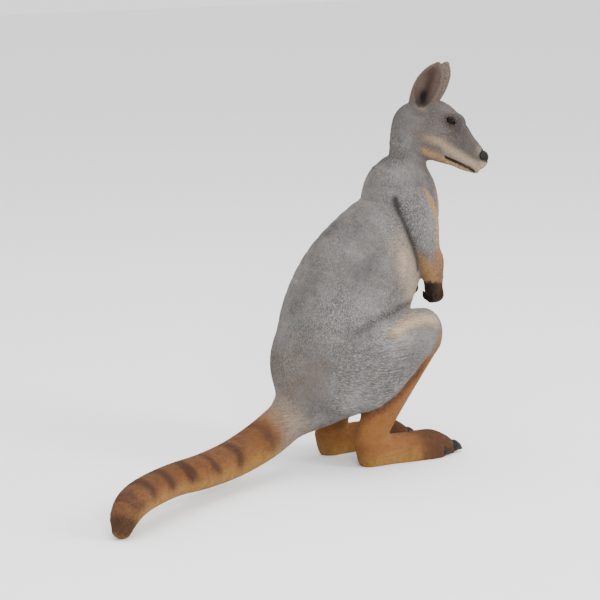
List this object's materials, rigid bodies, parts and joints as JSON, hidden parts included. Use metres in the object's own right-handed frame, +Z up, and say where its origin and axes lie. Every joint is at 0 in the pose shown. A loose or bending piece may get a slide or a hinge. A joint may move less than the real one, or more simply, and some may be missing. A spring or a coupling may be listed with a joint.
{
  "type": "wallaby statue",
  "caption": "Painted resin garden statue of a rock wallaby, sitting upright on its hind feet with its head turned to one side and its banded tail resting on the floor behind.",
  "frame": {"origin": "middle of the plan outline, on the floor that the soles and the tip of the tail rest on", "axes": "+X is the way the trunk faces, +Y is the animal's left, +Z is up"},
  "size_m": [0.6872, 0.2888, 0.611],
  "materials": {
    "coat_grey": "matt paint over carved hair, cast resin",
    "head_paint": "matt paint over carved hair, cast resin",
    "ear_paint": "matt paint, cast resin",
    "tail_paint": "matt paint with dark bands, cast resin",
    "limb_ochre": "matt paint over carved hair, cast resin",
    "hand_brown": "matt paint, cast resin",
    "claw_black": "satin black paint",
    "gloss_black": "gloss black paint"
  },
  "bodies": {
    "root": {"trunk": "coat_grey", "neck": "coat_grey", "head": "head_paint", "nose": "gloss_black", "eye_left": "gloss_black", "eye_right": "gloss_black", "ear_left": "ear_paint", "ear_right": "ear_paint", "tail_base": "tail_paint", "tail_middle": "tail_paint", "tail_tip": "tail_paint", "thigh_left": "coat_grey", "thigh_right": "coat_grey", "shank_left": "limb_ochre", "shank_right": "limb_ochre", "foot_left": "limb_ochre", "foot_right": "limb_ochre", "upper_arm_left": "coat_grey", "upper_arm_right": "coat_grey", "forearm_left": "limb_ochre", "forearm_right": "limb_ochre", "hand_left": "hand_brown", "hand_right": "hand_brown", "claw_long_toe_left": "claw_black", "claw_outer_toe_left": "claw_black", "claw_third_toe_left": "claw_black", "claw_second_toe_left": "claw_black", "claw_finger_1_left": "claw_black", "claw_finger_2_left": "claw_black", "claw_finger_3_left": "claw_black", "claw_finger_4_left": "claw_black", "claw_finger_5_left": "claw_black", "claw_long_toe_right": "claw_black", "claw_outer_toe_right": "claw_black", "claw_third_toe_right": "claw_black", "claw_second_toe_right": "claw_black", "claw_finger_1_right": "claw_black", "claw_finger_2_right": "claw_black", "claw_finger_3_right": "claw_black", "claw_finger_4_right": "claw_black", "claw_finger_5_right": "claw_black"}
  },
  "joints": []
}
